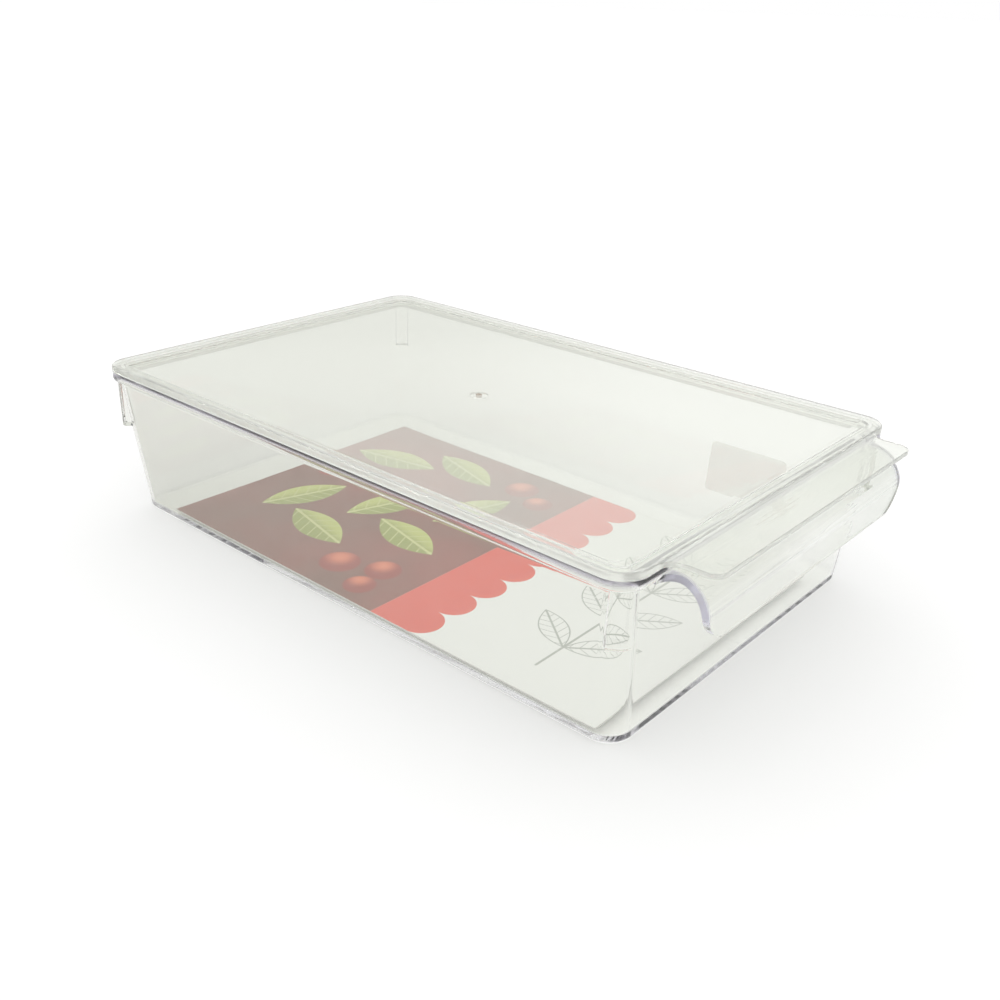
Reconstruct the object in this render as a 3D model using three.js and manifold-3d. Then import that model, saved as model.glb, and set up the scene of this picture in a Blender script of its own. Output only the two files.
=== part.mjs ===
// Fridge storage box with a lift-off lid, in clear moulded plastic.
// The box has a flanged rim that runs out at the front into a pull handle, and a stop lug
// under each corner of the rim. The lid rests on the rim, a skirt under it fits inside the
// walls, and its tab covers the handle. A printed card lies on the floor of the box, and a
// blank label is stuck on the outside of one long wall.
// Millimetres, +Z up, +X towards the handle, origin on the ground under the middle of the part.

import * as THREE from 'three';
import { mergeVertices } from 'three/addons/utils/BufferGeometryUtils.js';
import Module from 'manifold-3d';

// Whole part, with the lid on
const OVERALL_LENGTH = 325;
const OVERALL_WIDTH = 200;
const OVERALL_HEIGHT = 75;

// Rim of the box
const RIM_CORNER_RADIUS = 11.5;
const RIM_THICKNESS = 4.3;
const RIM_OVERHANG = 3;
const RIM_EDGE_RADIUS = 0.8;
const RIM_ROOT_WIDTH = 1.2;
const RIM_ROOT_HEIGHT = 2.4;
const RIM_SHOULDER_RADIUS = 2.2;
const RIM_BEAD_RADIUS = 1.7;

// Walls and floor of the box
const WALL_THICKNESS = 2.2;
const FLOOR_THICKNESS = 2.8;
const SIDE_WALL_LEAN = 6.8;
const END_WALL_LEAN = 3.2;
const BASE_CORNER_RADIUS = 11;
const BASE_EDGE_RADIUS = 2;
const FLOOR_FILLET = 1;

// Stop lugs under the corners of the rim
const LUG_HEIGHT = 23.2;
const LUG_WIDTH = 8.5;
const LUG_SETBACK = 1.8;
const LUG_EDGE_RADIUS = 1.2;

// Pull handle at the front of the rim. The drop is to where its round lower edge starts.
const HANDLE_WIDTH = 154;
const HANDLE_REACH = 16.6;
const HANDLE_DROP = 22.8;
const HANDLE_STEP_DOWN = 1.6;
const HANDLE_SHELF = 3.2;
const HANDLE_BEND_RADIUS = 13.5;
const HANDLE_THICKNESS = 2.8;
const HANDLE_CORNER_RADIUS = 16;
const HANDLE_ROOT_RADIUS = 7;

// Lid: a border that lies on the rim and is wider at the front, and a panel sunk inside it
const LID_BORDER_THICKNESS = 3;
const LID_BORDER_WIDTH = 6.4;
const LID_FRONT_BORDER_WIDTH = 9.3;
const LID_EDGE_RADIUS = 0.9;
const LID_PANEL_DROP = 1.8;
const LID_PANEL_THICKNESS = 2;
const LID_STEP_RUN = 0.7;
const SKIRT_THICKNESS = 1.8;
const SKIRT_DEPTH = 4;
const SKIRT_EDGE_RADIUS = 0.4;
const GATE_MARK_DIAMETER = 9;
const GATE_MARK_DEPTH = 1;
const GATE_STUB_DIAMETER = 3;

// Pull tab of the lid
const TAB_REACH = 19;
const TAB_WIDTH = 155;
const TAB_THICKNESS = 2;
const TAB_STEP_DOWN = 0.5;
const TAB_EDGE_RADIUS = 0.4;
const TAB_CORNER_RADIUS = 6;
const TAB_ROOT_RADIUS = 7;

// Printed card on the floor
const CARD_LENGTH = 258;
const CARD_WIDTH = 157;
const CARD_THICKNESS = 0.5;
const CARD_BACK_GAP = 22;

// Blank label on the outside of the wall on the +Y side
const LABEL_LENGTH = 40;
const LABEL_HEIGHT = 25;
const LABEL_THICKNESS = 0.3;
const LABEL_CORNER_RADIUS = 2;
const LABEL_FRONT_GAP = 42;
const LABEL_LIFT = 18;

// Clearances
const SEAT_GAP = 0.3;
const SKIRT_CLEARANCE = 0.5;
const CARD_SIDE_GAP = 0.5;

// How finely curves are cut
const CORNER_STEPS = 10;
const BEND_STEPS = 6;
const EDGE_STEPS = 3;
const ROOT_STEPS = 6;

// Heights
const LID_UNDERSIDE = OVERALL_HEIGHT - LID_BORDER_THICKNESS;
const LID_PANEL_TOP = OVERALL_HEIGHT - LID_PANEL_DROP;
const LID_PANEL_UNDERSIDE = LID_PANEL_TOP - LID_PANEL_THICKNESS;
const TAB_UNDERSIDE = OVERALL_HEIGHT - TAB_STEP_DOWN - TAB_THICKNESS;
const RIM_TOP = LID_UNDERSIDE - SEAT_GAP;
const RIM_UNDERSIDE = RIM_TOP - RIM_THICKNESS;
const HANDLE_TOP = RIM_TOP - HANDLE_STEP_DOWN;

// Outline of the rim, which the lid shares, and of the walls at the ground
const RIM_HALF_LENGTH = (OVERALL_LENGTH - TAB_REACH) / 2;
const RIM_HALF_WIDTH = OVERALL_WIDTH / 2;
const RIM_CENTRE_X = -TAB_REACH / 2;
const RIM_FRONT_X = RIM_CENTRE_X + RIM_HALF_LENGTH;
const BASE_HALF_LENGTH = RIM_HALF_LENGTH - RIM_OVERHANG - END_WALL_LEAN;
const BASE_HALF_WIDTH = RIM_HALF_WIDTH - RIM_OVERHANG - SIDE_WALL_LEAN;
const WALL_TOP_RADIUS = RIM_CORNER_RADIUS - RIM_OVERHANG;
const SIDE_WALL_SLOPE = SIDE_WALL_LEAN / RIM_UNDERSIDE;

// Where a flap in front of the rim starts, in the thickness of the front wall
const FLAP_BACK_X = RIM_FRONT_X - RIM_OVERHANG - WALL_THICKNESS / 2;

const wasm = await Module();
wasm.setup();

// Solid of a closed geometry
function solidOf(geometry) {
  const bare = geometry.clone();
  bare.deleteAttribute('normal');
  bare.deleteAttribute('uv');
  const merged = mergeVertices(bare, 1e-4);
  const vertProperties = new Float32Array(merged.attributes.position.array);
  const triVerts = new Uint32Array(merged.index.array);
  return new wasm.Manifold(new wasm.Mesh({ numProp: 3, vertProperties, triVerts }));
}

// Geometry of a solid
function geometryOf(solid) {
  const { vertProperties, triVerts } = solid.getMesh();
  const geometry = new THREE.BufferGeometry();
  geometry.setAttribute('position', new THREE.BufferAttribute(vertProperties, 3));
  geometry.setIndex(new THREE.BufferAttribute(triVerts, 1));
  geometry.computeVertexNormals();
  return geometry;
}

// Level rounded rectangle, anticlockwise from above
function ring(halfLength, halfWidth, radius, z, middleX = RIM_CENTRE_X) {
  const quarters = [[1, 1], [-1, 1], [-1, -1], [1, -1]];
  return quarters.flatMap(([sideX, sideY], quarter) => {
    const centreX = middleX + sideX * (halfLength - radius);
    const centreY = sideY * (halfWidth - radius);
    return Array.from({ length: CORNER_STEPS + 1 }, (_, step) => {
      const angle = (quarter + step / CORNER_STEPS) * Math.PI / 2;
      return new THREE.Vector3(centreX + radius * Math.cos(angle), centreY + radius * Math.sin(angle), z);
    });
  });
}

// Ring on the walls at a height, set in from their outer face
function wallRing(inset, z) {
  const share = z / RIM_UNDERSIDE;
  const halfLength = BASE_HALF_LENGTH + END_WALL_LEAN * share - inset;
  const halfWidth = BASE_HALF_WIDTH + SIDE_WALL_LEAN * share - inset;
  const radius = THREE.MathUtils.lerp(BASE_CORNER_RADIUS, WALL_TOP_RADIUS, share) - inset;
  return ring(halfLength, halfWidth, radius, z);
}

// Ring set in from the rim's outline
function rimRing(inset, z) {
  return ring(RIM_HALF_LENGTH - inset, RIM_HALF_WIDTH - inset, RIM_CORNER_RADIUS - inset, z);
}

// Ring set in from the inner edge of the lid's border
function panelRing(inset, z) {
  const halfLength = RIM_HALF_LENGTH - (LID_BORDER_WIDTH + LID_FRONT_BORDER_WIDTH) / 2 - inset;
  const halfWidth = RIM_HALF_WIDTH - LID_BORDER_WIDTH - inset;
  const radius = RIM_CORNER_RADIUS - LID_BORDER_WIDTH - inset;
  const middleX = RIM_CENTRE_X - (LID_FRONT_BORDER_WIDTH - LID_BORDER_WIDTH) / 2;
  return ring(halfLength, halfWidth, radius, z, middleX);
}

// Closed skin through a row of rings, with the first and the last filled in flat.
// Seen in section on the +X side, the row goes anticlockwise, so the skin faces out.
function loft(rings) {
  const count = rings[0].length;
  const points = rings.flat();
  const top = points.length - count;
  const first = points.push(new THREE.Vector3(RIM_CENTRE_X, 0, points[0].z)) - 1;
  const last = points.push(new THREE.Vector3(RIM_CENTRE_X, 0, points[top].z)) - 1;
  const faces = [];
  for (let side = 0; side < count; side += 1) {
    const next = (side + 1) % count;
    faces.push(first, next, side);
    faces.push(last, top + side, top + next);
    for (let row = 0; row < top; row += count) {
      faces.push(row + side, row + next, row + count + next);
      faces.push(row + side, row + count + next, row + count + side);
    }
  }
  const geometry = new THREE.BufferGeometry().setFromPoints(points);
  geometry.setIndex(faces);
  return geometry;
}

// Steps of a quarter round that starts level and ends upright
function quarterRound(radius, steps = EDGE_STEPS) {
  return Array.from({ length: steps + 1 }, (_, step) => {
    const angle = step / steps * Math.PI / 2;
    return { inset: radius * (1 - Math.sin(angle)), rise: radius * (1 - Math.cos(angle)) };
  });
}

// Steps of the hollow round between the walls and the rim, which starts upright and ends level
function rimRoot() {
  return Array.from({ length: ROOT_STEPS + 1 }, (_, step) => {
    const angle = step / ROOT_STEPS * Math.PI / 2;
    const outset = RIM_ROOT_WIDTH * (1 - Math.cos(angle));
    return { outset, drop: RIM_ROOT_HEIGHT * (1 - Math.sin(angle)) };
  });
}

// Prism of a flat shape, upright from a height
function prism(shape, z, depth, bevel = 0) {
  const geometry = new THREE.ExtrudeGeometry(shape, {
    depth: depth - 2 * bevel,
    curveSegments: BEND_STEPS,
    bevelEnabled: bevel > 0,
    bevelThickness: bevel,
    bevelSize: bevel,
    bevelOffset: -bevel,
    bevelSegments: 2,
  });
  return geometry.translate(0, 0, z + bevel);
}

// Outside of the box, filled in, from its rounded base edge to the rounded bead of the rim
function boxOutside() {
  const baseEdge = quarterRound(BASE_EDGE_RADIUS);
  const rimBead = quarterRound(RIM_BEAD_RADIUS, ROOT_STEPS);
  const rimShoulder = quarterRound(RIM_SHOULDER_RADIUS, ROOT_STEPS);
  return loft([
    ...baseEdge.map(({ inset, rise }) => wallRing(inset, rise)),
    ...rimRoot().map(({ outset, drop }) => wallRing(-outset, RIM_UNDERSIDE - drop)),
    ...rimBead.map(({ inset, rise }) => rimRing(inset, RIM_UNDERSIDE + rise)),
    ...rimShoulder.map(({ inset, rise }) => rimRing(inset, RIM_TOP - rise)).reverse(),
  ]);
}

// Space inside the box, from the floor up through the mouth, which has a rounded lip
function boxInside() {
  const floorEdge = quarterRound(FLOOR_FILLET);
  const lip = quarterRound(RIM_EDGE_RADIUS);
  return loft([
    ...floorEdge.map(({ inset, rise }) => wallRing(WALL_THICKNESS + inset, FLOOR_THICKNESS + rise)),
    ...lip.map(({ inset, rise }) => wallRing(WALL_THICKNESS - rise, RIM_TOP - inset)),
    wallRing(WALL_THICKNESS - RIM_EDGE_RADIUS, RIM_TOP + RIM_THICKNESS),
  ]);
}

// Block that runs outwards through one corner of the walls, as wide and as high as a stop lug
function lugBlock(sideX, sideY) {
  const reach = 2 * RIM_CORNER_RADIUS;
  const height = LUG_HEIGHT + RIM_THICKNESS / 2;
  const block = new THREE.BoxGeometry(reach, LUG_WIDTH, height);
  block.translate(reach / 2, 0, RIM_UNDERSIDE - LUG_HEIGHT + height / 2);
  block.rotateZ(Math.atan2(sideY, sideX));
  const centreX = RIM_CENTRE_X + sideX * (RIM_HALF_LENGTH - RIM_CORNER_RADIUS);
  const centreY = sideY * (RIM_HALF_WIDTH - RIM_CORNER_RADIUS);
  return block.translate(centreX, centreY, 0);
}

// Upright outer faces of the stop lugs, with a rounded lower edge
function lugOutside() {
  const lowerEdge = quarterRound(LUG_EDGE_RADIUS);
  return loft([
    ...lowerEdge.map(({ inset, rise }) => rimRing(LUG_SETBACK + inset, RIM_UNDERSIDE - LUG_HEIGHT + rise)),
    rimRing(LUG_SETBACK, RIM_TOP),
  ]);
}

// Plan of a flap that runs forward from the rim, with hollow rounds at its root and
// rounded front corners
function flapPlan(width, reach, rootRadius, cornerRadius) {
  const half = width / 2;
  const rootX = RIM_FRONT_X + rootRadius;
  const cornerX = RIM_FRONT_X + reach - cornerRadius;
  const plan = new THREE.Shape();
  plan.absarc(rootX, -half - rootRadius, rootRadius, Math.PI, Math.PI / 2, true);
  plan.absarc(cornerX, -half + cornerRadius, cornerRadius, -Math.PI / 2, 0, false);
  plan.absarc(cornerX, half - cornerRadius, cornerRadius, 0, Math.PI / 2, false);
  plan.absarc(rootX, half + rootRadius, rootRadius, -Math.PI / 2, -Math.PI, true);
  plan.lineTo(FLAP_BACK_X, half + rootRadius);
  plan.lineTo(FLAP_BACK_X, -half - rootRadius);
  return plan;
}

// Section of the handle's sheet along X: a shelf, a bend, and a flap that leans out to the
// handle's reach and ends in a round edge
function handleSection() {
  const bend = new THREE.Vector2(RIM_FRONT_X + HANDLE_SHELF, HANDLE_TOP - HANDLE_BEND_RADIUS);
  const tip = new THREE.Vector2(RIM_FRONT_X + HANDLE_REACH, HANDLE_TOP - HANDLE_DROP);
  const toTip = tip.clone().sub(bend);
  const facing = Math.atan2(toTip.y, toTip.x) + Math.acos(HANDLE_BEND_RADIUS / toTip.length());
  const half = HANDLE_THICKNESS / 2;
  const edgeX = tip.x - half * Math.cos(facing);
  const edgeZ = tip.y - half * Math.sin(facing);
  const section = new THREE.Shape();
  section.absarc(bend.x, bend.y, HANDLE_BEND_RADIUS - HANDLE_THICKNESS, Math.PI / 2, facing, true);
  section.absarc(edgeX, edgeZ, half, facing + Math.PI, facing + 2 * Math.PI, false);
  section.absarc(bend.x, bend.y, HANDLE_BEND_RADIUS, facing, Math.PI / 2, false);
  section.lineTo(FLAP_BACK_X, HANDLE_TOP);
  section.lineTo(FLAP_BACK_X, HANDLE_TOP - HANDLE_THICKNESS);
  return section;
}

// Front view of the handle, Y across and Z up: wide at its root, with rounded lower corners
function handleFront() {
  const half = HANDLE_WIDTH / 2;
  const rootHalf = half + HANDLE_ROOT_RADIUS + HANDLE_THICKNESS;
  const shoulder = HANDLE_TOP - 2 * HANDLE_THICKNESS;
  const bottom = HANDLE_TOP - HANDLE_DROP - HANDLE_THICKNESS / 2;
  const cornerY = half - HANDLE_CORNER_RADIUS;
  const cornerZ = bottom + HANDLE_CORNER_RADIUS;
  const front = new THREE.Shape();
  front.moveTo(rootHalf, RIM_TOP);
  front.lineTo(-rootHalf, RIM_TOP);
  front.lineTo(-rootHalf, shoulder);
  front.lineTo(-half, shoulder);
  front.absarc(-cornerY, cornerZ, HANDLE_CORNER_RADIUS, Math.PI, 1.5 * Math.PI, false);
  front.absarc(cornerY, cornerZ, HANDLE_CORNER_RADIUS, 1.5 * Math.PI, 2 * Math.PI, false);
  front.lineTo(half, shoulder);
  front.lineTo(rootHalf, shoulder);
  return front;
}

// Pull handle: its bent sheet, trimmed to its plan and to its front view
function pullHandle() {
  const span = HANDLE_WIDTH + 2 * HANDLE_ROOT_RADIUS;
  const alongY = new THREE.Matrix4().makeBasis(
    new THREE.Vector3(1, 0, 0), new THREE.Vector3(0, 0, 1), new THREE.Vector3(0, -1, 0));
  const alongX = new THREE.Matrix4().makeBasis(
    new THREE.Vector3(0, 1, 0), new THREE.Vector3(0, 0, 1), new THREE.Vector3(1, 0, 0));
  const clear = HANDLE_REACH + 2 * HANDLE_CORNER_RADIUS;
  const plan = flapPlan(HANDLE_WIDTH, clear, HANDLE_ROOT_RADIUS, HANDLE_CORNER_RADIUS);
  const sheet = solidOf(prism(handleSection(), -span / 2, span).applyMatrix4(alongY));
  const front = solidOf(prism(handleFront(), FLAP_BACK_X, clear).applyMatrix4(alongX));
  return sheet.intersect(solidOf(prism(plan, 0, RIM_TOP))).intersect(front);
}

// Cut that lowers the front of the rim, outside the front wall, to the handle's shelf
function shelfCut() {
  const depth = 2 * RIM_OVERHANG;
  const height = 2 * HANDLE_STEP_DOWN;
  const cut = new THREE.BoxGeometry(depth, HANDLE_WIDTH, height);
  return cut.translate(RIM_FRONT_X - RIM_OVERHANG + depth / 2, 0, HANDLE_TOP + height / 2);
}

// Box: its outside with the lugs and the handle, hollowed out
function storageBox() {
  const lugLimit = solidOf(lugOutside());
  let box = solidOf(boxOutside()).subtract(solidOf(shelfCut())).add(pullHandle());
  for (const sideX of [-1, 1]) {
    for (const sideY of [-1, 1]) {
      box = box.add(solidOf(lugBlock(sideX, sideY)).intersect(lugLimit));
    }
  }
  return geometryOf(box.subtract(solidOf(boxInside())));
}

// Lid without its tab: sunk panel, skirt that fits inside the walls, and border
function lidPlate() {
  const skirtOut = RIM_OVERHANG + WALL_THICKNESS + SKIRT_CLEARANCE;
  const skirtIn = skirtOut + SKIRT_THICKNESS;
  const skirtShift = SIDE_WALL_SLOPE * SKIRT_DEPTH;
  const skirtBottom = LID_UNDERSIDE - SKIRT_DEPTH;
  const skirtEdge = quarterRound(SKIRT_EDGE_RADIUS);
  const borderEdge = quarterRound(LID_EDGE_RADIUS);
  return loft([
    rimRing(skirtIn, LID_PANEL_UNDERSIDE),
    ...skirtEdge.map(({ inset, rise }) => rimRing(skirtIn + skirtShift - inset, skirtBottom + rise)).reverse(),
    ...skirtEdge.map(({ inset, rise }) => rimRing(skirtOut + skirtShift + inset, skirtBottom + rise)),
    rimRing(skirtOut, LID_UNDERSIDE),
    rimRing(0, LID_UNDERSIDE),
    ...borderEdge.map(({ inset, rise }) => rimRing(inset, OVERALL_HEIGHT - rise)).reverse(),
    panelRing(0, OVERALL_HEIGHT),
    panelRing(LID_STEP_RUN, LID_PANEL_TOP),
  ]);
}

// Ring groove that the moulding gate leaves under the middle of the lid
function gateMark() {
  const groove = new THREE.Shape();
  groove.absarc(0, 0, GATE_MARK_DIAMETER / 2, 0, 2 * Math.PI, false);
  const stub = new THREE.Path();
  stub.absarc(0, 0, GATE_STUB_DIAMETER / 2, 0, 2 * Math.PI, true);
  groove.holes.push(stub);
  const depth = 2 * GATE_MARK_DEPTH;
  return prism(groove, LID_PANEL_UNDERSIDE - depth / 2, depth).translate(RIM_CENTRE_X, 0, 0);
}

// Lid with its pull tab and gate mark
function boxLid() {
  const plan = flapPlan(TAB_WIDTH, TAB_REACH, TAB_ROOT_RADIUS, TAB_CORNER_RADIUS);
  const tab = solidOf(prism(plan, TAB_UNDERSIDE, TAB_THICKNESS, TAB_EDGE_RADIUS));
  return geometryOf(solidOf(lidPlate()).add(tab).subtract(solidOf(gateMark())));
}

// Rounded rectangle about the origin
function roundedPlate(length, width, radius) {
  const x = length / 2 - radius;
  const y = width / 2 - radius;
  const plate = new THREE.Shape();
  plate.absarc(x, y, radius, 0, Math.PI / 2, false);
  plate.absarc(-x, y, radius, Math.PI / 2, Math.PI, false);
  plate.absarc(-x, -y, radius, Math.PI, 1.5 * Math.PI, false);
  plate.absarc(x, -y, radius, 1.5 * Math.PI, 2 * Math.PI, false);
  return plate;
}

// Clear plastics and papers
const boxPlastic = new THREE.MeshStandardMaterial({ color: 0xe6e7e0, roughness: 0.08, metalness: 0 });
const lidPlastic = new THREE.MeshStandardMaterial({ color: 0xe9ebe3, roughness: 0.08, metalness: 0 });
const cardPaper = new THREE.MeshStandardMaterial({ color: 0x6a2a24, roughness: 0.45, metalness: 0 });
const labelPaper = new THREE.MeshStandardMaterial({ color: 0xd9d3cb, roughness: 0.7, metalness: 0 });

const box = new THREE.Mesh(storageBox(), boxPlastic);
box.name = 'storage_box';

const lid = new THREE.Mesh(boxLid(), lidPlastic);
lid.name = 'lid';

// The card lies against the fillet of the floor on the -Y side, its back edge short of the back wall
const card = new THREE.Mesh(new THREE.BoxGeometry(CARD_LENGTH, CARD_WIDTH, CARD_THICKNESS), cardPaper);
card.name = 'insert_card';
const floorInset = WALL_THICKNESS + FLOOR_FILLET;
const floorBackX = RIM_CENTRE_X - BASE_HALF_LENGTH + floorInset;
const floorSideY = -BASE_HALF_WIDTH + floorInset;
card.position.set(
  floorBackX + CARD_BACK_GAP + CARD_LENGTH / 2,
  floorSideY + CARD_SIDE_GAP + CARD_WIDTH / 2,
  FLOOR_THICKNESS + SEAT_GAP + CARD_THICKNESS / 2);

// The label stands in a group that leans with the wall, its back on the wall's outer face
const label = new THREE.Mesh(
  prism(roundedPlate(LABEL_LENGTH, LABEL_HEIGHT, LABEL_CORNER_RADIUS), SEAT_GAP, LABEL_THICKNESS), labelPaper);
label.name = 'blank_label';
label.rotation.x = -Math.PI / 2;
const wallFace = new THREE.Group();
const labelHeight = LABEL_LIFT + LABEL_HEIGHT / 2;
wallFace.rotation.x = -Math.atan(SIDE_WALL_SLOPE);
wallFace.position.set(
  RIM_FRONT_X - LABEL_FRONT_GAP - LABEL_LENGTH / 2,
  BASE_HALF_WIDTH + SIDE_WALL_SLOPE * labelHeight,
  labelHeight);
wallFace.add(label);

const fridgeBox = new THREE.Group();
fridgeBox.add(box, lid, card, wallFace);

export default fridgeBox;
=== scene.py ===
"""Looks of a clear fridge storage box with a lift-off lid, around its CAD frame. Metres, +Z up."""

import math

import bmesh
import bpy
from mathutils import Matrix, Vector


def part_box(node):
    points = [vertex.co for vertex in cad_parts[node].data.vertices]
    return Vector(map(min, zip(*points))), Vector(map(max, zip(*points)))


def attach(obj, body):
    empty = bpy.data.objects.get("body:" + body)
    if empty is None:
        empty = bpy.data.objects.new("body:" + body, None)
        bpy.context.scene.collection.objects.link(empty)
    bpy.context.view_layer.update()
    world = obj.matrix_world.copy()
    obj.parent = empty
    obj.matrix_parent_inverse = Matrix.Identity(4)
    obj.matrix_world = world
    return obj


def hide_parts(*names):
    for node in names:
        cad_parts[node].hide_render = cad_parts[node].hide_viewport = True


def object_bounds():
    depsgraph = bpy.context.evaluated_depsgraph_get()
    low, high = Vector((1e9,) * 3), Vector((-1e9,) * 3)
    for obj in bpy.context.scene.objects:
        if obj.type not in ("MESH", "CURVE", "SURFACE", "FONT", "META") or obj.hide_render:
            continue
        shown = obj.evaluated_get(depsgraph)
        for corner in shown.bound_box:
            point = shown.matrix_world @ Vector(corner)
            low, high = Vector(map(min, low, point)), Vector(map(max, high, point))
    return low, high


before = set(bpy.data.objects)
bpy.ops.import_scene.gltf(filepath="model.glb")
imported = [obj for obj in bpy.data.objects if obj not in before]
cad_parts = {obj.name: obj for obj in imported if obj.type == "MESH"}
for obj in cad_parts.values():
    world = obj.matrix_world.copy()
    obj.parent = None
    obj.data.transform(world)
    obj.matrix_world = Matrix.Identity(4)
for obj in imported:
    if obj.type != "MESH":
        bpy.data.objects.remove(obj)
cad_low, cad_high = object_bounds()

MM = 0.001

# Places of the pieces, from the frame
card_low, card_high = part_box("insert_card")
card_middle = (card_low + card_high) / 2
card_size = card_high - card_low

# Rim of the box
TAB_REACH = 19 * MM
RIM_CORNER_RADIUS = 11.5 * MM
RIM_TOP = 71.7 * MM
RIM_THICKNESS = 4.3 * MM
RIM_MIDDLE_X = (cad_low.x + cad_high.x - TAB_REACH) / 2
RIM_HALF_LENGTH = (cad_high.x - cad_low.x - TAB_REACH) / 2
RIM_HALF_WIDTH = cad_high.y
BASE_HALF_LENGTH = RIM_HALF_LENGTH - 6.2 * MM
BASE_HALF_WIDTH = RIM_HALF_WIDTH - 9.8 * MM
BASE_CORNER_RADIUS = 11 * MM
HANDLE_HALF_WIDTH = 77 * MM
GATE_STUB_RADIUS = 1.5 * MM

# Where the shade painted grey into the plastic's back end runs out
PAINTED_SHADE_END = 60 * MM

# Camera of the photograph, in the part's frame
PICTURE_SIDE = 1000
CAMERA_PLACE = Vector((300.81, -349.67, 236.65)) * MM
CAMERA_AZIMUTH = math.radians(40.81)
CAMERA_ELEVATION = math.radians(25.11)
CAMERA_ROLL = math.radians(1.73)
FOCAL_PIXELS = 1072.91
CENTRE_PIXEL = (489.37, 504.36)
SENSOR_WIDTH = 36

# Light
WORLD_LIGHT = 0.52
SUN_LIGHT = 1.35
SUN_ANGLE = math.radians(70)
SUN_TILT = (math.radians(-18), math.radians(-22), 0)
FILL_LIGHT = 0.9
FILL_TILT = (math.radians(58), 0, CAMERA_AZIMUTH)
OPEN_FLOOR_LIFT = (0.09, 0.09, 0.09, 1)
# Painted glow: extra emission for seen rays on the floor under the clear base
UNDER_BASE_PAINTED_GLOW = (0.14, 0.14, 0.14, 1)
WORLD_COLOUR = (WORLD_LIGHT, WORLD_LIGHT, WORLD_LIGHT, 1)
ROOM_COLOUR = (0.8, 0.81, 0.77, 1)
UPPER_ROOM_COLOUR = (0.86, 0.87, 0.83, 1)
DARK_ROOM_COLOUR = (0.22, 0.22, 0.21, 1)
BACKDROP_COLOUR = (1, 1, 1, 1)
FLOOR_COLOUR = (0.93, 0.93, 0.925, 1)
# Painted shade on the floor close round the box, and how far it reaches
FLOOR_PAINTED_SHADE_COLOUR = (0.66, 0.66, 0.655, 1)
PAINTED_SHADE_REACH = 0.12
FLOOR_DROP = 0.3 * MM
FLOOR_HALF_SIDE = 60
BOUNCES = 64

# Where the parts of the room begin: height of a direction over the horizon, from none to full
BACKDROP_HEIGHTS = (0.06, 0.04)
UPPER_ROOM_HEIGHTS = (0.27, 0.3)
DARK_ROOM_HEIGHTS = (0.45, 0.52)
DARK_ROOM_BEHIND = (-0.1, -0.3)
OVERHEAD_HEIGHTS = (0.8, 0.88)


# Helpers for node trees

def node(tree, kind, **settings):
    """New node of a kind, with its properties set."""
    made = tree.nodes.new(kind)
    for name, value in settings.items():
        setattr(made, name, value)
    return made


def feed(tree, socket, value):
    """Links a socket to an input, or sets a plain value on it."""
    if isinstance(value, bpy.types.NodeSocket):
        tree.links.new(value, socket)
    elif value is not None:
        socket.default_value = value


def calc(tree, operation, first, second=None, third=None, clamp=False):
    """Result of a Math node."""
    made = node(tree, "ShaderNodeMath", operation=operation, use_clamp=clamp)
    for socket, value in zip(made.inputs, (first, second, third)):
        feed(tree, socket, value)
    return made.outputs[0]


def remap(tree, value, low, high, to_low=0.0, to_high=1.0):
    """Value carried smoothly from one range to another, and held at its ends."""
    made = node(tree, "ShaderNodeMapRange", interpolation_type="SMOOTHSTEP")
    for name, entry in zip(
        ("Value", "From Min", "From Max", "To Min", "To Max"), (value, low, high, to_low, to_high)
    ):
        feed(tree, made.inputs[name], entry)
    return made.outputs["Result"]


def mix_colour(tree, share, first, second):
    """Colour between two colours."""
    made = node(tree, "ShaderNodeMix", data_type="RGBA")
    feed(tree, made.inputs["Factor"], share)
    feed(tree, made.inputs["A"], first)
    feed(tree, made.inputs["B"], second)
    return made.outputs["Result"]


def noise(tree, point, scale, detail=2.0, roughness=0.5):
    """Value of a Noise texture."""
    made = node(tree, "ShaderNodeTexNoise")
    feed(tree, made.inputs["Vector"], point)
    made.inputs["Scale"].default_value = scale
    made.inputs["Detail"].default_value = detail
    made.inputs["Roughness"].default_value = roughness
    return made.outputs["Fac"]


def outline_reach(tree, axes, half_length, half_width, radius):
    """How far a point lies outside a rounded rectangle about the middle of the box, seen from above."""
    away_x = calc(tree, "ABSOLUTE", calc(tree, "SUBTRACT", axes.outputs["X"], RIM_MIDDLE_X))
    away_y = calc(tree, "ABSOLUTE", axes.outputs["Y"])
    over_x = calc(tree, "MAXIMUM", calc(tree, "SUBTRACT", away_x, half_length - radius), 0.0)
    over_y = calc(tree, "MAXIMUM", calc(tree, "SUBTRACT", away_y, half_width - radius), 0.0)
    square = calc(tree, "MULTIPLY_ADD", over_x, over_x, calc(tree, "MULTIPLY", over_y, over_y))
    return calc(tree, "SUBTRACT", calc(tree, "SQRT", square), radius)


def shader_group(name, inputs, outputs):
    """New shader node group with named sockets; returns its tree, its input node and its output node."""
    tree = bpy.data.node_groups.new(name, "ShaderNodeTree")
    for socket, kind, value in inputs:
        made = tree.interface.new_socket(socket, in_out="INPUT", socket_type=kind)
        if value is not None:
            made.default_value = value
    for socket, kind in outputs:
        tree.interface.new_socket(socket, in_out="OUTPUT", socket_type=kind)
    return tree, node(tree, "NodeGroupInput"), node(tree, "NodeGroupOutput")


def place_group(tree, group, **values):
    """Node group in a tree, with its inputs set or linked."""
    made = node(tree, "ShaderNodeGroup", node_tree=group)
    for name, value in values.items():
        feed(tree, made.inputs[name.replace("_", " ")], value)
    return made


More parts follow.
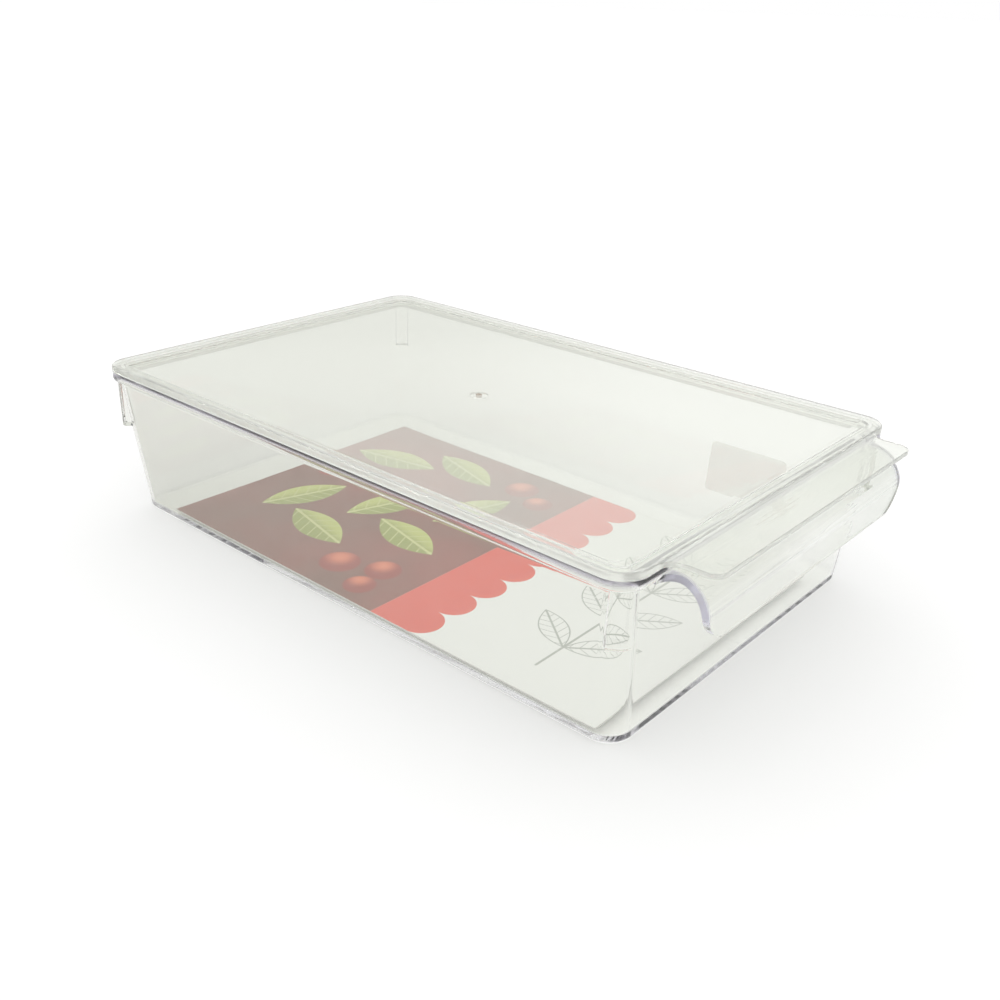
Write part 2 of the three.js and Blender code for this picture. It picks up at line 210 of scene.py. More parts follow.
def new_material(name):
    """Material with a Principled shader; returns it with its tree and its shader."""
    material = bpy.data.materials.new(name)
    material.use_nodes = True
    tree = material.node_tree
    tree.nodes.clear()
    shader = node(tree, "ShaderNodeBsdfPrincipled")
    output = node(tree, "ShaderNodeOutputMaterial")
    tree.links.new(shader.outputs["BSDF"], output.inputs["Surface"])
    return material, tree, shader


# Shared effects

FLOAT = "NodeSocketFloat"
VECTOR = "NodeSocketVector"

# Fine marks from handling: long one way, thin the other ways
HAIRLINE_SCALE = (22, 1500, 1500)
HAIRLINE_TURNS = (0.5, 2.1)


def hairlines(tree, point, turn):
    """Mask of fine, nearly straight marks that run one way over a surface."""
    turned = node(tree, "ShaderNodeVectorRotate", rotation_type="EULER_XYZ")
    feed(tree, turned.inputs["Vector"], point)
    turned.inputs["Rotation"].default_value = (turn / 2, turn / 3, turn)
    drawn = node(tree, "ShaderNodeVectorMath", operation="MULTIPLY")
    feed(tree, drawn.inputs[0], turned.outputs[0])
    drawn.inputs[1].default_value = HAIRLINE_SCALE
    return remap(tree, noise(tree, drawn.outputs[0], 1.0, 1.0), 0.7, 0.76)


def moulded_surface_group():
    """Slow waves and fine haze that moulding leaves in a clear sheet, and faint marks from handling."""
    tree, given, out = shader_group(
        "moulded_surface",
        [("Point", VECTOR, None), ("Wave Scale", FLOAT, 30.0),
         ("Smooth", FLOAT, 0.02), ("Hazy", FLOAT, 0.06)],
        [("Height", FLOAT), ("Roughness", FLOAT)],
    )
    wave = node(tree, "ShaderNodeTexNoise")
    feed(tree, wave.inputs["Vector"], given.outputs["Point"])
    feed(tree, wave.inputs["Scale"], given.outputs["Wave Scale"])
    wave.inputs["Detail"].default_value = 1.0
    haze = noise(tree, given.outputs["Point"], 55.0, 4.0, 0.6)
    worn = remap(tree, haze, 0.35, 0.75, given.outputs["Smooth"], given.outputs["Hazy"])
    first_marks, second_marks = (hairlines(tree, given.outputs["Point"], turn) for turn in HAIRLINE_TURNS)
    marks = calc(tree, "MAXIMUM", first_marks, second_marks)
    patches = remap(tree, noise(tree, given.outputs["Point"], 18.0, 1.0), 0.45, 0.65)
    marks = calc(tree, "MULTIPLY", marks, patches)
    feed(tree, out.inputs["Height"], wave.outputs["Fac"])
    feed(tree, out.inputs["Roughness"], calc(tree, "MULTIPLY_ADD", marks, 0.2, worn))
    return tree


def paper_grain_group():
    """Fibres and faint mottling of paper and card."""
    tree, given, out = shader_group(
        "paper_grain",
        [("Point", VECTOR, None), ("Fibre Scale", FLOAT, 2200.0)],
        [("Height", FLOAT), ("Mottle", FLOAT)],
    )
    fibre = node(tree, "ShaderNodeTexNoise")
    feed(tree, fibre.inputs["Vector"], given.outputs["Point"])
    feed(tree, fibre.inputs["Scale"], given.outputs["Fibre Scale"])
    fibre.inputs["Detail"].default_value = 3.0
    feed(tree, out.inputs["Height"], fibre.outputs["Fac"])
    feed(tree, out.inputs["Mottle"], noise(tree, given.outputs["Point"], 90.0, 3.0))
    return tree


def rim_face_group():
    """Where painted shade and tint go: the outer face of the box's rim and the height on it, and the far
    end and side edges of the handle.
    """
    tree, given, out = shader_group(
        "rim_face",
        [("Point", VECTOR, None)],
        [("Face", FLOAT), ("Height", FLOAT), ("Handle End", FLOAT), ("Handle Edge", FLOAT)],
    )
    axes = node(tree, "ShaderNodeSeparateXYZ")
    feed(tree, axes.inputs[0], given.outputs["Point"])
    reach = outline_reach(tree, axes, RIM_HALF_LENGTH, RIM_HALF_WIDTH, RIM_CORNER_RADIUS)
    outside = remap(tree, reach, -2.0 * MM, -1.4 * MM)
    in_front = remap(tree, reach, 0.6 * MM, 0.3 * MM)
    height = calc(tree, "SUBTRACT", axes.outputs["Z"], RIM_TOP - RIM_THICKNESS)
    height = calc(tree, "DIVIDE", height, RIM_THICKNESS)
    above = remap(tree, height, -0.1, 0.1)
    face = calc(tree, "MULTIPLY", calc(tree, "MULTIPLY", outside, in_front), above)
    feed(tree, out.inputs["Face"], face)
    feed(tree, out.inputs["Height"], height)
    rim_front = RIM_MIDDLE_X + RIM_HALF_LENGTH
    ahead = remap(tree, axes.outputs["X"], rim_front, rim_front + 1.5 * MM)
    far_end = remap(tree, axes.outputs["Y"], -20 * MM, 60 * MM)
    feed(tree, out.inputs["Handle End"], calc(tree, "MULTIPLY", ahead, far_end))
    away_y = calc(tree, "ABSOLUTE", axes.outputs["Y"])
    aside = remap(tree, away_y, HANDLE_HALF_WIDTH - 2 * MM, HANDLE_HALF_WIDTH - 0.5 * MM)
    feed(tree, out.inputs["Handle Edge"], calc(tree, "MULTIPLY", ahead, aside))
    return tree


rim_face = rim_face_group()
moulded_surface = moulded_surface_group()
paper_grain = paper_grain_group()


def leaf_shape_group():
    """Printed leaf in the card's plane: its area, its ribs, its outline and a light half."""
    tree, given, out = shader_group(
        "leaf_shape",
        [("Point", VECTOR, None), ("Place", VECTOR, None), ("Turn", FLOAT, 0.0),
         ("Length", FLOAT, 0.04), ("Width", FLOAT, 0.02)],
        [("Inside", FLOAT), ("Ribs", FLOAT), ("Outline", FLOAT), ("Light Half", FLOAT)],
    )
    offset = node(tree, "ShaderNodeVectorMath", operation="SUBTRACT")
    feed(tree, offset.inputs[0], given.outputs["Point"])
    feed(tree, offset.inputs[1], given.outputs["Place"])
    turned = node(tree, "ShaderNodeVectorRotate", rotation_type="Z_AXIS", invert=True)
    feed(tree, turned.inputs["Vector"], offset.outputs[0])
    feed(tree, turned.inputs["Angle"], given.outputs["Turn"])
    axes = node(tree, "ShaderNodeSeparateXYZ")
    feed(tree, axes.inputs[0], turned.outputs[0])
    along = calc(tree, "DIVIDE", axes.outputs["X"], calc(tree, "MULTIPLY", given.outputs["Length"], 0.5))
    across = calc(tree, "DIVIDE", axes.outputs["Y"], calc(tree, "MULTIPLY", given.outputs["Width"], 0.5))
    spread = calc(tree, "ABSOLUTE", across)
    reach = calc(tree, "ADD", spread, calc(tree, "MULTIPLY", along, along))
    inside = remap(tree, reach, 1.02, 0.98)
    middle_rib = remap(tree, spread, 0.09, 0.05)
    slant = calc(tree, "MULTIPLY", spread, -1.1)
    row = calc(tree, "FRACT", calc(tree, "MULTIPLY_ADD", along, 3.5, slant))
    side_ribs = remap(tree, row, 0.12, 0.06)
    ribs = calc(tree, "MAXIMUM", middle_rib, side_ribs)
    feed(tree, out.inputs["Inside"], inside)
    feed(tree, out.inputs["Ribs"], calc(tree, "MULTIPLY", ribs, inside))
    edge = calc(tree, "ABSOLUTE", calc(tree, "SUBTRACT", reach, 0.95))
    feed(tree, out.inputs["Outline"], remap(tree, edge, 0.06, 0.03))
    feed(tree, out.inputs["Light Half"], remap(tree, across, -0.2, 0.6))
    return tree


def round_shape_group():
    """Printed round spot in the card's plane: its area, its light side and its outline."""
    tree, given, out = shader_group(
        "round_shape",
        [("Point", VECTOR, None), ("Place", VECTOR, None), ("Radius", FLOAT, 0.01)],
        [("Inside", FLOAT), ("Light Side", FLOAT), ("Outline", FLOAT)],
    )
    offset = node(tree, "ShaderNodeVectorMath", operation="SUBTRACT")
    feed(tree, offset.inputs[0], given.outputs["Point"])
    feed(tree, offset.inputs[1], given.outputs["Place"])
    flat = node(tree, "ShaderNodeVectorMath", operation="MULTIPLY")
    feed(tree, flat.inputs[0], offset.outputs[0])
    flat.inputs[1].default_value = (1, 1, 0)
    span = node(tree, "ShaderNodeVectorMath", operation="LENGTH")
    feed(tree, span.inputs[0], flat.outputs[0])
    reach = calc(tree, "DIVIDE", span.outputs["Value"], given.outputs["Radius"])
    lit = node(tree, "ShaderNodeVectorMath", operation="SUBTRACT")
    feed(tree, lit.inputs[0], flat.outputs[0])
    lit.inputs[1].default_value = (-0.003, 0.003, 0)
    glow = node(tree, "ShaderNodeVectorMath", operation="LENGTH")
    feed(tree, glow.inputs[0], lit.outputs[0])
    side = calc(tree, "DIVIDE", glow.outputs["Value"], given.outputs["Radius"])
    feed(tree, out.inputs["Inside"], remap(tree, reach, 1.03, 0.97))
    feed(tree, out.inputs["Light Side"], remap(tree, side, 1.0, 0.1))
    ring = calc(tree, "ABSOLUTE", calc(tree, "SUBTRACT", reach, 0.94))
    feed(tree, out.inputs["Outline"], remap(tree, ring, 0.07, 0.04))
    return tree


leaf_shape = leaf_shape_group()
round_shape = round_shape_group()


# Clear plastics

PLASTIC_IOR = 1.5
FILM_COLOUR = (0.955, 0.957, 0.95, 1)
# Painted shade for the handle's far end, and a painted violet tint on its side edges standing for light
# seen along the sheet's edge
HANDLE_END_PAINTED_SHADE = (0.79, 0.81, 0.765, 1)
HANDLE_EDGE_PAINTED_TINT = (0.86, 0.85, 0.98, 1)


def clear_plastic(name, tint, painted_back_shade, haze, depth_colour, depth_density, wave_height,
                  painted_rim_shade_colour=None, gate_colour=None):
    """Clear moulded plastic, with shade painted greyer at its back end, that lets lamps through to what
    is inside.
    """
    material, tree, shader = new_material(name)
    output = tree.get_output_node("ALL")
    point = node(tree, "ShaderNodeTexCoord").outputs["Object"]
    surface = place_group(tree, moulded_surface, Point=point, Wave_Scale=26.0, Smooth=0.0, Hazy=0.02)
    bump = node(tree, "ShaderNodeBump")
    bump.inputs["Distance"].default_value = wave_height
    feed(tree, bump.inputs["Height"], surface.outputs["Height"])
    axes = node(tree, "ShaderNodeSeparateXYZ")
    feed(tree, axes.inputs[0], point)
    # Painted shade: the plastic greyer towards its back end
    colour = mix_colour(tree, remap(tree, axes.outputs["X"], cad_low.x, PAINTED_SHADE_END), painted_back_shade, tint)
    shader.inputs["Transmission Weight"].default_value = 1 - haze
    shader.inputs["IOR"].default_value = PLASTIC_IOR
    roughness = surface.outputs["Roughness"]
    # Painted shade: a dark violet band on the upper part of the rim's outer face, and painted colours on
    # the handle's far end and side edges
    if painted_rim_shade_colour:
        rim = place_group(tree, rim_face, Point=point)
        painted_rim_shade = calc(tree, "MULTIPLY", rim.outputs["Face"], remap(tree, rim.outputs["Height"], 0.35, 0.8))
        colour = mix_colour(tree, painted_rim_shade, colour, painted_rim_shade_colour)
        roughness = calc(tree, "MULTIPLY_ADD", painted_rim_shade, 0.3, roughness)
        roughness = calc(tree, "MULTIPLY_ADD", rim.outputs["Handle Edge"], 0.4, roughness)
        colour = mix_colour(tree, rim.outputs["Handle End"], colour, HANDLE_END_PAINTED_SHADE)
        colour = mix_colour(tree, rim.outputs["Handle Edge"], colour, HANDLE_EDGE_PAINTED_TINT)
    if gate_colour:
        gate_place = (RIM_MIDDLE_X, 0, 0)
        gate = place_group(tree, round_shape, Point=point, Place=gate_place, Radius=GATE_STUB_RADIUS)
        colour = mix_colour(tree, gate.outputs["Inside"], colour, gate_colour)
    feed(tree, shader.inputs["Base Color"], colour)
    feed(tree, shader.inputs["Roughness"], roughness)
    feed(tree, shader.inputs["Normal"], bump.outputs["Normal"])
    depth = node(tree, "ShaderNodeVolumeAbsorption")
    depth.inputs["Color"].default_value = depth_colour
    depth.inputs["Density"].default_value = depth_density
    tree.links.new(depth.outputs["Volume"], output.inputs["Volume"])
    path = node(tree, "ShaderNodeLightPath")
    passes = calc(tree, "MAXIMUM", path.outputs["Is Shadow Ray"], path.outputs["Is Diffuse Ray"])
    film = node(tree, "ShaderNodeBsdfTransparent")
    film.inputs["Color"].default_value = FILM_COLOUR
    mix = node(tree, "ShaderNodeMixShader")
    feed(tree, mix.inputs["Fac"], passes)
    tree.links.new(shader.outputs["BSDF"], mix.inputs[1])
    tree.links.new(film.outputs["BSDF"], mix.inputs[2])
    tree.links.new(mix.outputs["Shader"], output.inputs["Surface"])
    return material


# Papers

# Colours of the card and its print
FIELD_COLOURS = ((0.285, 0.172, 0.14, 1), (0.365, 0.167, 0.14, 1))
LEAF_COLOURS = ((0.38, 0.42, 0.15, 1), (0.56, 0.6, 0.22, 1))
LEAF_RIB_COLOUR = (0.64, 0.66, 0.34, 1)
BERRY_COLOURS = ((0.38, 0.12, 0.1, 1), (0.78, 0.28, 0.18, 1))
FRONT_COLOUR = (0.9, 0.91, 0.87, 1)
BAND_COLOUR = (0.8, 0.19, 0.15, 1)
SPRIG_COLOUR = (0.5, 0.52, 0.47, 1)
CUT_EDGE_COLOUR = (0.74, 0.73, 0.69, 1)
CARD_BACK_COLOUR = (0.82, 0.81, 0.78, 1)

# Colours of the label, and how much it covers
LABEL_COLOURS = ((0.93, 0.89, 0.87, 1), (0.97, 0.95, 0.93, 1))
SPECKLE_COLOUR = (0.88, 0.77, 0.73, 1)
LABEL_COVER = 0.36

# Height of the papers' grain, and the softness of a printed edge
PAPER_GRAIN = 0.02 * MM
PRINT_EDGE = 0.3 * MM

# Leaves on the card's dark field, from its middle: place along and across, turn, length and width
FIELD_LEAVES = [
    (-98, -22, 71, 46, 20), (-66, -41, -13, 46, 20), (-59, 0, 71, 46, 20), (-27, -19, -13, 46, 20),
    (-22, 22, 71, 44, 19), (-96, 40, 12, 50, 22), (-58, 56, -16, 48, 20),
]

# Berries on the field: place along and across, and radius
FIELD_BERRIES = [
    (-30, -58, 9.5), (-10, -50, 8.5), (-8, -66, 7.5), (-20, 58, 9), (-3, 50, 7.5), (-112, 8, 7),
]

# Sprig drawn on the card's pale front: a stem across the card, with a leaf on either side at each step
STEM_ALONG = 88
STEM_HALF_LENGTH = 62
SPRIG_STEPS = (-44, -14, 16, 46)
SPRIG_LEAF = (30, 13)
SPRIG_TURN = 52

# Red band between the field and the front, with a scalloped front edge
BAND_BACK = 12 * MM
BAND_FRONT = 33 * MM
SCALLOPS = 8


def printed_card_material():
    """Card with a plain print: leaves and berries on brown, a red band and a sprig in thin lines."""
    material, tree, shader = new_material("printed_card")
    point = node(tree, "ShaderNodeTexCoord").outputs["Object"]
    axes = node(tree, "ShaderNodeSeparateXYZ")
    feed(tree, axes.inputs[0], point)
    along, across = axes.outputs["X"], axes.outputs["Y"]
    grain = place_group(tree, paper_grain, Point=point)

    # Cloudy brown field
    cloud = noise(tree, point, 14.0, 3.0)
    colour = mix_colour(tree, remap(tree, cloud, 0.35, 0.7), *FIELD_COLOURS)
    for x, y, turn, length, width in FIELD_LEAVES:
        leaf = place_group(tree, leaf_shape, Point=point, Place=(x * MM, y * MM, 0),
                           Turn=math.radians(turn), Length=length * MM, Width=width * MM)
        green = mix_colour(tree, leaf.outputs["Light Half"], *LEAF_COLOURS)
        green = mix_colour(tree, leaf.outputs["Ribs"], green, LEAF_RIB_COLOUR)
        colour = mix_colour(tree, leaf.outputs["Inside"], colour, green)
    for x, y, radius in FIELD_BERRIES:
        berry = place_group(tree, round_shape, Point=point, Place=(x * MM, y * MM, 0), Radius=radius * MM)
        red = mix_colour(tree, berry.outputs["Light Side"], *BERRY_COLOURS)
        colour = mix_colour(tree, berry.outputs["Inside"], colour, red)

    # Pale front, and the red band with its scallops
    scallop = card_size.y / SCALLOPS
    past_field = remap(tree, along, BAND_BACK, BAND_BACK + PRINT_EDGE)
    colour = mix_colour(tree, past_field, colour, FRONT_COLOUR)
    row = calc(tree, "FRACT", calc(tree, "DIVIDE", calc(tree, "ADD", across, card_size.y / 2), scallop))
    aside = calc(tree, "MULTIPLY", calc(tree, "SUBTRACT", row, 0.5), scallop)
    ahead = calc(tree, "MAXIMUM", calc(tree, "SUBTRACT", along, BAND_FRONT), 0.0)
    bow = calc(tree, "MULTIPLY_ADD", ahead, ahead, calc(tree, "MULTIPLY", aside, aside))
    bow = calc(tree, "SQRT", bow)
    straight = remap(tree, along, BAND_FRONT + 2 * PRINT_EDGE, BAND_FRONT + PRINT_EDGE)
    rounded = remap(tree, bow, scallop / 2 + PRINT_EDGE / 3, scallop / 2 - PRINT_EDGE / 1.5)
    band = calc(tree, "MULTIPLY", past_field, calc(tree, "MAXIMUM", straight, rounded))
    colour = mix_colour(tree, band, colour, BAND_COLOUR)

    # Sprig in thin lines on the front
    stem = calc(tree, "ABSOLUTE", calc(tree, "SUBTRACT", along, STEM_ALONG * MM))
    away = calc(tree, "ABSOLUTE", across)
    stem_end = remap(tree, away, STEM_HALF_LENGTH * MM, (STEM_HALF_LENGTH - 1) * MM)
    lines = calc(tree, "MULTIPLY", remap(tree, stem, 0.7 * MM, 0.4 * MM), stem_end)
    length, width = SPRIG_LEAF
    for step in SPRIG_STEPS:
        for side in (-1, 1):
            turn = math.radians(90 - side * SPRIG_TURN)
            x = STEM_ALONG + math.cos(turn) * length / 2
            y = step + math.sin(turn) * length / 2
            leaf = place_group(tree, leaf_shape, Point=point, Place=(x * MM, y * MM, 0), Turn=turn,
                               Length=length * MM, Width=width * MM)
            drawn = calc(tree, "MAXIMUM", leaf.outputs["Outline"], leaf.outputs["Ribs"])
            lines = calc(tree, "MAXIMUM", lines, drawn)
    colour = mix_colour(tree, lines, colour, SPRIG_COLOUR)

    # Bare paper along the cut edges
    side = calc(tree, "SUBTRACT", calc(tree, "ABSOLUTE", along), card_size.x / 2)
    end = calc(tree, "SUBTRACT", calc(tree, "ABSOLUTE", across), card_size.y / 2)
    rim = calc(tree, "MAXIMUM", side, end)
    worn = calc(tree, "MULTIPLY_ADD", grain.outputs["Mottle"], 0.5 * MM, rim)
    colour = mix_colour(tree, remap(tree, worn, -0.1 * MM, 0.1 * MM), colour, CUT_EDGE_COLOUR)

    # Plain paper on the back
    facing = node(tree, "ShaderNodeSeparateXYZ")
    feed(tree, facing.inputs[0], node(tree, "ShaderNodeTexCoord").outputs["Normal"])
    colour = mix_colour(tree, remap(tree, facing.outputs["Z"], 0.1, -0.1), colour, CARD_BACK_COLOUR)

    feed(tree, shader.inputs["Base Color"], colour)
    bump = node(tree, "ShaderNodeBump")
    bump.inputs["Distance"].default_value = PAPER_GRAIN
    feed(tree, bump.inputs["Height"], grain.outputs["Height"])
    feed(tree, shader.inputs["Normal"], bump.outputs["Normal"])
    feed(tree, shader.inputs["Roughness"], remap(tree, grain.outputs["Mottle"], 0.3, 0.7, 0.3, 0.45))
    return material


def label_material():
    """Thin blank label, half clear, with faint pink mottling."""
    material, tree, shader = new_material("label_paper")
    point = node(tree, "ShaderNodeTexCoord").outputs["Object"]
    grain = place_group(tree, paper_grain, Point=point, Fibre_Scale=1200.0)
    speckle = remap(tree, noise(tree, point, 700.0, 2.0), 0.45, 0.7)
    colour = mix_colour(tree, grain.outputs["Mottle"], *LABEL_COLOURS)
    colour = mix_colour(tree, speckle, colour, SPECKLE_COLOUR)
    feed(tree, shader.inputs["Base Color"], colour)
    shader.inputs["Alpha"].default_value = LABEL_COVER
    bump = node(tree, "ShaderNodeBump")
    bump.inputs["Distance"].default_value = PAPER_GRAIN
    feed(tree, bump.inputs["Height"], grain.outputs["Height"])
    feed(tree, shader.inputs["Normal"], bump.outputs["Normal"])
    feed(tree, shader.inputs["Roughness"], remap(tree, grain.outputs["Mottle"], 0.3, 0.7, 0.55, 0.7))
    return material


# Smooth shading for the faceted mouldings

WELD_DISTANCE = 0.005 * MM
SHARP_ANGLE = math.radians(35)
FLAT_FACE_WEIGHT = 100


def moulding_shading():
    """Geometry nodes that weld a moulding's facets and shade them smoothly, with sharp edges kept."""
    tree = bpy.data.node_groups.new("moulding_shading", "GeometryNodeTree")
    tree.interface.new_socket("Geometry", in_out="INPUT", socket_type="NodeSocketGeometry")
    tree.interface.new_socket("Geometry", in_out="OUTPUT", socket_type="NodeSocketGeometry")
    given, out = node(tree, "NodeGroupInput"), node(tree, "NodeGroupOutput")
    weld = node(tree, "GeometryNodeMergeByDistance")
    weld.inputs["Distance"].default_value = WELD_DISTANCE
    angle = node(tree, "GeometryNodeInputMeshEdgeAngle")
    sharp = node(tree, "FunctionNodeCompare", operation="GREATER_THAN")
    sharp.inputs["B"].default_value = SHARP_ANGLE
    normals = node(tree, "GeometryNodeSetMeshNormal", mode="SHARPNESS")
    tree.links.new(given.outputs["Geometry"], weld.inputs["Geometry"])
    tree.links.new(weld.outputs["Geometry"], normals.inputs["Mesh"])
    tree.links.new(angle.outputs["Unsigned Angle"], sharp.inputs["A"])
    tree.links.new(sharp.outputs["Result"], normals.inputs["Edge Sharpness"])
    normals.inputs["Remove Custom"].default_value = True
    tree.links.new(normals.outputs["Mesh"], out.inputs["Geometry"])
    return tree


def dress(name, material):
    """Gives a CAD node its finish."""
    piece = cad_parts[name]
    piece.data.materials.clear()
    piece.data.materials.append(material)
    return piece


# Both plastics carry shade painted greyer at their back end; the box's also has painted shade on its
# rim's outer face
box_plastic = clear_plastic(
    "clear_box_plastic", (0.96, 0.965, 0.945, 1), (0.83, 0.835, 0.8, 1), 0.0,
    (0.25, 0.12, 0.85, 1), 0.4, 0.02 * MM, painted_rim_shade_colour=(0.46, 0.43, 0.53, 1),
)
lid_plastic = clear_plastic(
    "clear_lid_plastic", (0.945, 0.955, 0.92, 1), (0.88, 0.89, 0.85, 1), 0.18,
    (0.3, 0.42, 0.2, 1), 2.0, 0.015 * MM, gate_colour=(0.5, 0.42, 0.35, 1),
)
shading = moulding_shading()
for name, plastic in (("storage_box", box_plastic), ("lid", lid_plastic)):
    moulding = dress(name, plastic)
    moulding.modifiers.new("moulding_shading", "NODES").node_group = shading
    flats = moulding.modifiers.new("flat_faces", "WEIGHTED_NORMAL")
    flats.mode = "FACE_AREA"
    flats.weight = FLAT_FACE_WEIGHT
    flats.keep_sharp = True
dress("blank_label", label_material())


# Printed card

CARD_CURL = 0.4 * MM


def card_sheet():
    """Thin card whose ends and corners lift a little, standing for the plain card."""
    mesh = bpy.data.meshes.new("printed_card_sheet")
    made = bmesh.new()
    bmesh.ops.create_grid(made, x_segments=64, y_segments=40, size=0.5)
    for vertex in made.verts:
        out_x, out_y = 2 * abs(vertex.co.x), 2 * abs(vertex.co.y)
        vertex.co.x *= card_size.x
        vertex.co.y *= card_size.y
        vertex.co.z = CARD_CURL * (out_x ** 8 * (0.4 + 0.6 * out_y ** 2))
    made.to_mesh(mesh)
    made.free()
    piece = bpy.data.objects.new("printed_card_sheet", mesh)
    bpy.context.scene.collection.objects.link(piece)
    piece.location = card_middle
    thickness = piece.modifiers.new("thickness", "SOLIDIFY")
    thickness.thickness = card_size.z
    thickness.offset = 0
    mesh.materials.append(printed_card_material())
    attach(piece, "card")
    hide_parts("insert_card")
    return piece


card_sheet()


# Floor, world, light and camera

def studio_floor():
    """Wide pale floor, with shade painted into its colour close round the box but not under its clear
    base, where a painted glow lifts it.
    """
    material, tree, shader = new_material("studio_floor")
    # Painted shade: floor colour darkened by ambient occlusion close round the box
    painted_contact_shade = node(tree, "ShaderNodeAmbientOcclusion", samples=16)
    painted_contact_shade.inputs["Distance"].default_value = PAINTED_SHADE_REACH
    axes = node(tree, "ShaderNodeSeparateXYZ")
    feed(tree, axes.inputs[0], node(tree, "ShaderNodeTexCoord").outputs["Object"])
    reach = outline_reach(tree, axes, BASE_HALF_LENGTH, BASE_HALF_WIDTH, BASE_CORNER_RADIUS)
    under = remap(tree, reach, 0, -2 * MM)
    open_share = calc(tree, "MAXIMUM", painted_contact_shade.outputs["AO"], under)
    colour = mix_colour(tree, open_share, FLOOR_PAINTED_SHADE_COLOUR, FLOOR_COLOUR)
    feed(tree, shader.inputs["Base Color"], colour)
    shader.inputs["Roughness"].default_value = 0.9
    shader.inputs["Specular IOR Level"].default_value = 0.0
    path = node(tree, "ShaderNodeLightPath")
    seen = calc(tree, "MAXIMUM", path.outputs["Is Camera Ray"], path.outputs["Is Glossy Ray"])
    seen = calc(tree, "MAXIMUM", seen, path.outputs["Is Transmission Ray"])
    # Even lift of the pale floor for seen rays, with a stronger painted glow under the clear base
    lift_and_painted_glow = mix_colour(tree, under, OPEN_FLOOR_LIFT, UNDER_BASE_PAINTED_GLOW)
    feed(tree, shader.inputs["Emission Color"], mix_colour(tree, seen, (0, 0, 0, 1), lift_and_painted_glow))
    shader.inputs["Emission Strength"].default_value = 1.0
    mesh = bpy.data.meshes.new("studio_floor")
    made = bmesh.new()
    bmesh.ops.create_grid(made, x_segments=1, y_segments=1, size=FLOOR_HALF_SIDE)
    made.to_mesh(mesh)
    made.free()
    floor = bpy.data.objects.new("studio_floor", mesh)
    bpy.context.scene.collection.objects.link(floor)
    floor.location.z = cad_low.z - FLOOR_DROP
    mesh.materials.append(material)


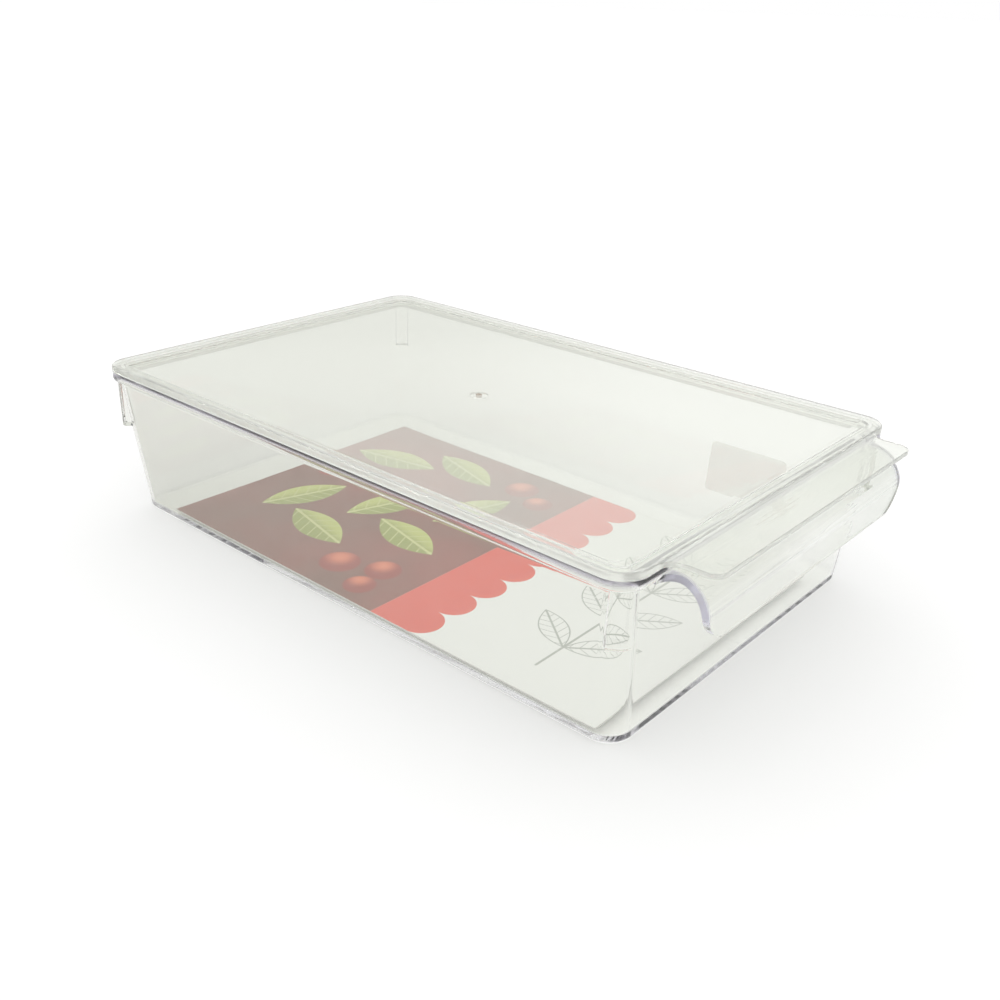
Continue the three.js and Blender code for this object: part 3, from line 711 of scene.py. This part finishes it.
def studio_world():
    """Even world light, with a white backdrop, and a pale room that is dark high up for clear pieces."""
    world = bpy.data.worlds.new("studio")
    bpy.context.scene.world = world
    world.use_nodes = True
    tree = world.node_tree
    tree.nodes.clear()
    path = node(tree, "ShaderNodeLightPath")
    seen = calc(tree, "MAXIMUM", path.outputs["Is Camera Ray"], path.outputs["Is Glossy Ray"])
    seen = calc(tree, "MAXIMUM", seen, path.outputs["Is Transmission Ray"])
    axes = node(tree, "ShaderNodeSeparateXYZ")
    feed(tree, axes.inputs[0], node(tree, "ShaderNodeTexCoord").outputs["Generated"])
    toward = calc(tree, "MULTIPLY", axes.outputs["X"], -math.sin(CAMERA_AZIMUTH))
    toward = calc(tree, "MULTIPLY_ADD", axes.outputs["Y"], math.cos(CAMERA_AZIMUTH), toward)
    up = axes.outputs["Z"]
    low = remap(tree, up, *BACKDROP_HEIGHTS)
    backdrop = calc(tree, "MAXIMUM", low, path.outputs["Is Camera Ray"])
    back = node(tree, "ShaderNodeBackground")
    room = mix_colour(tree, remap(tree, up, *UPPER_ROOM_HEIGHTS), ROOM_COLOUR, UPPER_ROOM_COLOUR)
    behind = remap(tree, toward, *DARK_ROOM_BEHIND)
    behind = calc(tree, "MULTIPLY", behind, remap(tree, up, *DARK_ROOM_HEIGHTS))
    overhead = remap(tree, up, *OVERHEAD_HEIGHTS)
    room = mix_colour(tree, calc(tree, "MAXIMUM", behind, overhead), room, DARK_ROOM_COLOUR)
    room = mix_colour(tree, backdrop, room, BACKDROP_COLOUR)
    feed(tree, back.inputs["Color"], mix_colour(tree, seen, WORLD_COLOUR, room))
    output = node(tree, "ShaderNodeOutputWorld")
    tree.links.new(back.outputs["Background"], output.inputs["Surface"])


def soft_sun(name, strength, angle, tilt):
    """Wide soft light from far away."""
    light = bpy.data.lights.new(name, "SUN")
    light.energy = strength
    light.angle = angle
    lamp = bpy.data.objects.new(name, light)
    bpy.context.scene.collection.objects.link(lamp)
    lamp.rotation_euler = tilt
    lamp.visible_glossy = False
    lamp.visible_transmission = False


def photo_camera():
    """Camera at the photograph's place and angle."""
    data = bpy.data.cameras.new("photo_camera")
    camera = bpy.data.objects.new("photo_camera", data)
    bpy.context.scene.collection.objects.link(camera)
    azimuth, elevation = CAMERA_AZIMUTH, CAMERA_ELEVATION
    back = Vector((
        math.sin(azimuth) * math.cos(elevation),
        -math.cos(azimuth) * math.cos(elevation),
        math.sin(elevation),
    ))
    level = Vector((math.cos(azimuth), math.sin(azimuth), 0))
    upright = back.cross(level)
    right = level * math.cos(CAMERA_ROLL) + upright * math.sin(CAMERA_ROLL)
    up = upright * math.cos(CAMERA_ROLL) - level * math.sin(CAMERA_ROLL)
    turn = Matrix((right, up, back)).transposed()
    camera.matrix_world = Matrix.Translation(CAMERA_PLACE) @ turn.to_4x4()
    data.sensor_width = SENSOR_WIDTH
    data.lens = FOCAL_PIXELS * SENSOR_WIDTH / PICTURE_SIDE
    data.shift_x = 0.5 - CENTRE_PIXEL[0] / PICTURE_SIDE
    data.shift_y = CENTRE_PIXEL[1] / PICTURE_SIDE - 0.5
    data.clip_start = 0.01
    data.clip_end = 100
    bpy.context.scene.camera = camera


studio_floor()
studio_world()
soft_sun("overhead_light", SUN_LIGHT, SUN_ANGLE, SUN_TILT)
soft_sun("fill_light", FILL_LIGHT, SUN_ANGLE, FILL_TILT)
photo_camera()

scene = bpy.context.scene
scene.view_settings.view_transform = "Standard"
scene.cycles.max_bounces = BOUNCES
scene.cycles.glossy_bounces = BOUNCES
scene.cycles.transmission_bounces = BOUNCES
scene.cycles.transparent_max_bounces = BOUNCES
